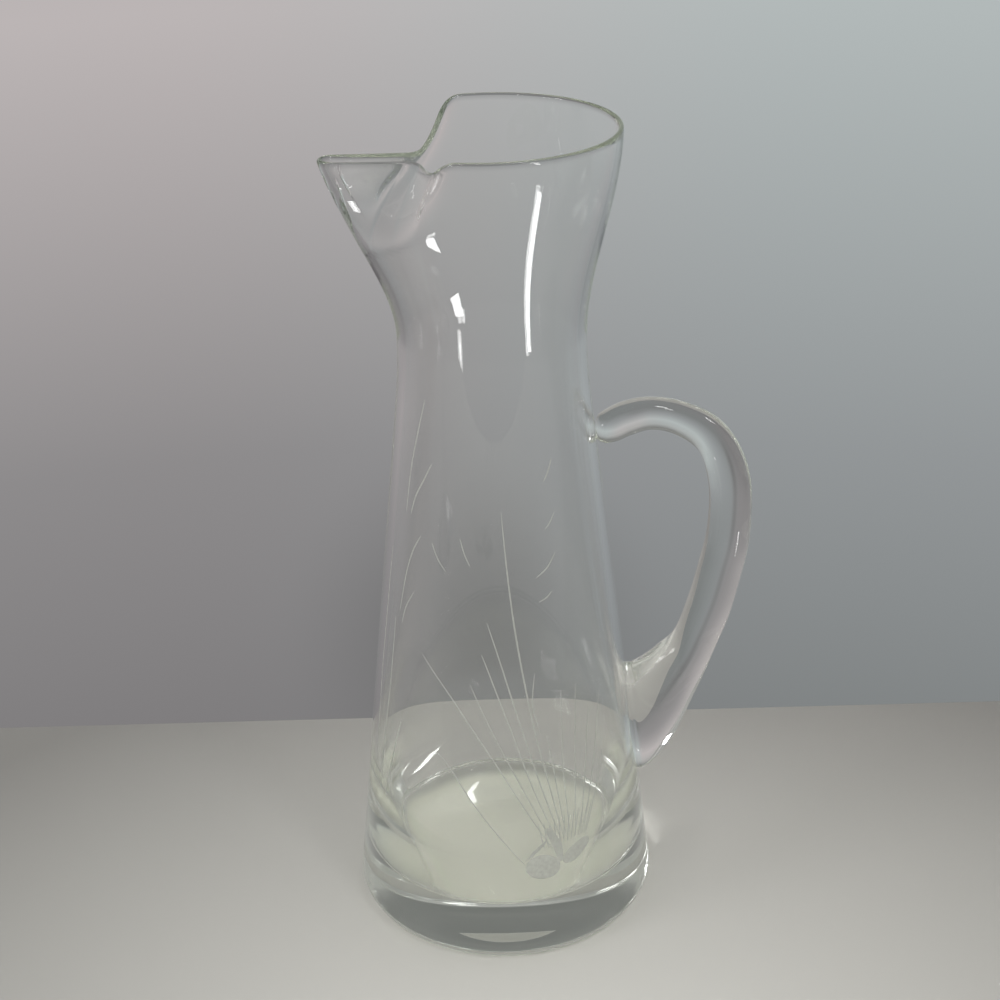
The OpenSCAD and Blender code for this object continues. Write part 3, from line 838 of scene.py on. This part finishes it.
def blend_across(nodes, links, value, span, first, second):
    """Blends two colours where a value runs over a span"""
    spread, blend = nodes.new("ShaderNodeMapRange"), nodes.new("ShaderNodeMix")
    blend.data_type = "RGBA"
    spread.interpolation_type = "SMOOTHSTEP"
    spread.inputs["From Min"].default_value, spread.inputs["From Max"].default_value = span
    links.new(value, spread.inputs["Value"])
    links.new(spread.outputs["Result"], blend.inputs["Factor"])
    links.new(first, blend.inputs["A"])
    links.new(second, blend.inputs["B"])
    return blend.outputs["Result"]


def studio_world():
    """A pale grey wall behind the pitcher, a grey room in front of it and a light ceiling"""
    world = bpy.data.worlds.new("studio")
    bpy.context.scene.world = world
    world.use_nodes = True
    nodes, links = world.node_tree.nodes, world.node_tree.links
    place, split = nodes.new("ShaderNodeTexCoord"), nodes.new("ShaderNodeSeparateXYZ")
    links.new(place.outputs["Generated"], split.inputs["Vector"])
    across, away, height = split.outputs
    left, right, front = (height_ramp(nodes, links, height, stops)
                          for stops in (ROOM_LEFT, ROOM_RIGHT, ROOM_FRONT))
    wall = blend_across(nodes, links, across, SIDE_BLEND, left, right)
    room = blend_across(nodes, links, away, WALL_BLEND, front, wall)
    # The wall is softly shaded behind the pitcher's lower half
    reach, fall, dim = (nodes.new("ShaderNode" + kind)
                        for kind in ("VectorMath", "MapRange", "Mix"))
    reach.operation = "DISTANCE"
    reach.inputs[1].default_value = SHADE_DIRECTION
    fall.interpolation_type = "SMOOTHSTEP"
    fall.inputs["From Max"].default_value = SHADE_REACH
    fall.inputs["To Min"].default_value = 1 - SHADE_DEPTH
    dim.data_type = "RGBA"
    dim.inputs["A"].default_value = SHADE_COLOUR
    links.new(place.outputs["Generated"], reach.inputs[0])
    links.new(reach.outputs["Value"], fall.inputs["Value"])
    links.new(fall.outputs["Result"], dim.inputs["Factor"])
    links.new(room, dim.inputs["B"])
    even = height_ramp(nodes, links, height, EVEN_LIGHT)
    # The room shows to the eye, past the glass too, and the even light reaches what is matt
    path, direct = nodes.new("ShaderNodeLightPath"), nodes.new("ShaderNodeMath")
    seen, choice = nodes.new("ShaderNodeMath"), nodes.new("ShaderNodeMix")
    direct.operation, seen.operation = "SUBTRACT", "MAXIMUM"
    direct.use_clamp = seen.use_clamp = True
    choice.data_type = "RGBA"
    links.new(path.outputs["Is Glossy Ray"], direct.inputs[0])
    links.new(path.outputs["Diffuse Depth"], direct.inputs[1])
    links.new(path.outputs["Is Camera Ray"], seen.inputs[0])
    links.new(direct.outputs["Value"], seen.inputs[1])
    links.new(seen.outputs["Value"], choice.inputs["Factor"])
    links.new(even, choice.inputs["A"])
    links.new(dim.outputs["Result"], choice.inputs["B"])
    links.new(choice.outputs["Result"], nodes["Background"].inputs["Color"])
    nodes["Background"].inputs["Strength"].default_value = 1.0


# The table's half width and the place of its front edge
TABLE_HALF_WIDTH, TABLE_FRONT = 1.6, -0.17
TABLE_ROUGHNESS = 0.55
# The table's painted light and shade: its lightest place and the reach round it, and where in
# that reach, counted inwards from its edge, the colour turns from the back's painted shade to the
# front's
PAINTED_LIGHT_CENTRE, PAINTED_LIGHT_REACH = (0.02, -0.16), 0.5
PAINTED_SHADE_TURN = (0.35, 0.95)
# The ring under the foot where the painted light there ends
UNDER_LIGHT_RING = (0.043, 0.048)
SENSOR_WIDTH = 36.0
NEAREST_SEEN = 0.01
# Light runs far along the inside of thick glass before it leaves it
GLASS_BOUNCES = 128
CLEAR_BOUNCES = 16


class PITCHER_OT_stage(bpy.types.Operator):
    """Set the table, the soft studio light and the camera"""

    bl_idname = "pitcher.stage"
    bl_label = "Stage"

    def execute(self, context):
        look = context.scene.pitcher_stage
        self.add_table(look)
        studio_world()
        for name, lamp in LAMPS.items():
            add_lamp(name, *lamp)
        self.add_camera(look)
        context.scene.view_settings.view_transform = "Standard"
        cycles = context.scene.cycles
        cycles.max_bounces = cycles.transmission_bounces = cycles.glossy_bounces = GLASS_BOUNCES
        cycles.transparent_max_bounces = CLEAR_BOUNCES
        # With soft reflections the inner floor would lose the light that reaches it through glass
        cycles.blur_glossy = 0.0
        return {"FINISHED"}

    def add_table(self, look):
        """The painted table top, a single sheet that ends in front of and behind the pitcher"""
        bm = bmesh.new()
        bmesh.ops.create_grid(bm, x_segments=2, y_segments=2, size=1.0)
        rows = {-1: TABLE_FRONT, 0: TABLE_FRONT / 2, 1: look.table_edge}
        for vert in bm.verts:
            vert.co = (vert.co.x * TABLE_HALF_WIDTH, rows[round(vert.co.y)], -look.table_gap)
        material, nodes, links, shader = new_material("table_paint_light_and_shade")
        shader.inputs["Roughness"].default_value = TABLE_ROUGHNESS
        # The paint is lightest in front of the pitcher and darkens towards the back edge with
        # painted shade
        place, centre = nodes.new("ShaderNodeTexCoord"), nodes.new("ShaderNodeMapping")
        fall, ramp = nodes.new("ShaderNodeTexGradient"), nodes.new("ShaderNodeValToRGB")
        fall.gradient_type = "SPHERICAL"
        centre.inputs["Location"].default_value = (*(-c / PAINTED_LIGHT_REACH for c in PAINTED_LIGHT_CENTRE), 0.0)
        centre.inputs["Scale"].default_value = [1 / PAINTED_LIGHT_REACH] * 3
        marks = ramp.color_ramp.elements
        marks[0].color, marks[1].color = look.table_back_shade, look.table_front
        marks[0].position, marks[1].position = PAINTED_SHADE_TURN
        links.new(place.outputs["Object"], centre.inputs["Vector"])
        links.new(centre.outputs["Vector"], fall.inputs["Vector"])
        links.new(fall.outputs["Fac"], ramp.inputs["Fac"])
        # Under the foot the paint is lighter, painted light for the light the glass base lets
        # through; it shows as the inner floor's
        under, under_light_mask, blend = (nodes.new("ShaderNode" + kind)
                              for kind in ("VectorMath", "MapRange", "Mix"))
        under.operation = "LENGTH"
        blend.data_type = "RGBA"
        under_light_mask.inputs["From Min"].default_value, under_light_mask.inputs["From Max"].default_value = UNDER_LIGHT_RING
        blend.inputs["A"].default_value = look.table_under_light
        links.new(place.outputs["Object"], under.inputs[0])
        links.new(under.outputs["Value"], under_light_mask.inputs["Value"])
        links.new(under_light_mask.outputs["Result"], blend.inputs["Factor"])
        links.new(ramp.outputs["Color"], blend.inputs["B"])
        links.new(blend.outputs["Result"], shader.inputs["Base Color"])
        to_object("table", bm, material)

    def add_camera(self, look):
        data = bpy.data.cameras.new("camera")
        data.lens = look.focal_length
        data.sensor_width = SENSOR_WIDTH
        data.clip_start = NEAREST_SEEN
        pitch, yaw, roll = look.camera_pitch, look.camera_yaw, look.camera_roll
        flat = Vector((math.sin(yaw), math.cos(yaw), 0))
        forward = math.cos(pitch) * flat - Vector((0, 0, math.sin(pitch)))
        right = Vector((math.cos(yaw), -math.sin(yaw), 0))
        up = right.cross(forward)
        level = right * math.cos(roll) + up * math.sin(roll)
        top = up * math.cos(roll) - right * math.sin(roll)
        camera = bpy.data.objects.new("camera", data)
        camera.matrix_world = Matrix((level, top, -forward)).transposed().to_4x4()
        camera.location = (0, -look.camera_distance, look.camera_height)
        bpy.context.scene.collection.objects.link(camera)
        bpy.context.scene.camera = camera


class PITCHER_PT_panel(bpy.types.Panel):
    bl_label = "Glass Pitcher"
    bl_idname = "PITCHER_PT_panel"
    bl_space_type = "VIEW_3D"
    bl_region_type = "UI"
    bl_category = "Pitcher"

    def draw(self, context):
        layout = self.layout
        for operator in OPERATORS:
            layout.operator(operator.bl_idname)
        for key in GROUPS:
            group = getattr(context.scene, key)
            box = layout.box()
            for name in group.bl_rna.properties.keys():
                if name not in ("rna_type", "name"):
                    box.prop(group, name)


GROUPS = {"pitcher_vessel": VesselSizes, "pitcher_handle": HandleSizes, "pitcher_cuts": CutSizes,
          "pitcher_glass": GlassLook, "pitcher_stage": StageLook}
OPERATORS = (PITCHER_OT_vessel, PITCHER_OT_handle, PITCHER_OT_cuts, PITCHER_OT_stage)


def register():
    for kind in (*GROUPS.values(), *OPERATORS, PITCHER_PT_panel):
        bpy.utils.register_class(kind)
    for name, kind in GROUPS.items():
        setattr(bpy.types.Scene, name, PointerProperty(type=kind))


def unregister():
    for name in GROUPS:
        delattr(bpy.types.Scene, name)
    for kind in (PITCHER_PT_panel, *reversed(OPERATORS), *reversed(GROUPS.values())):
        bpy.utils.unregister_class(kind)


def main():
    register()
    bpy.ops.pitcher.stage()
    bpy.ops.pitcher.vessel()
    bpy.ops.pitcher.handle()
    bpy.ops.pitcher.cuts()


if __name__ == "__main__":
    main()
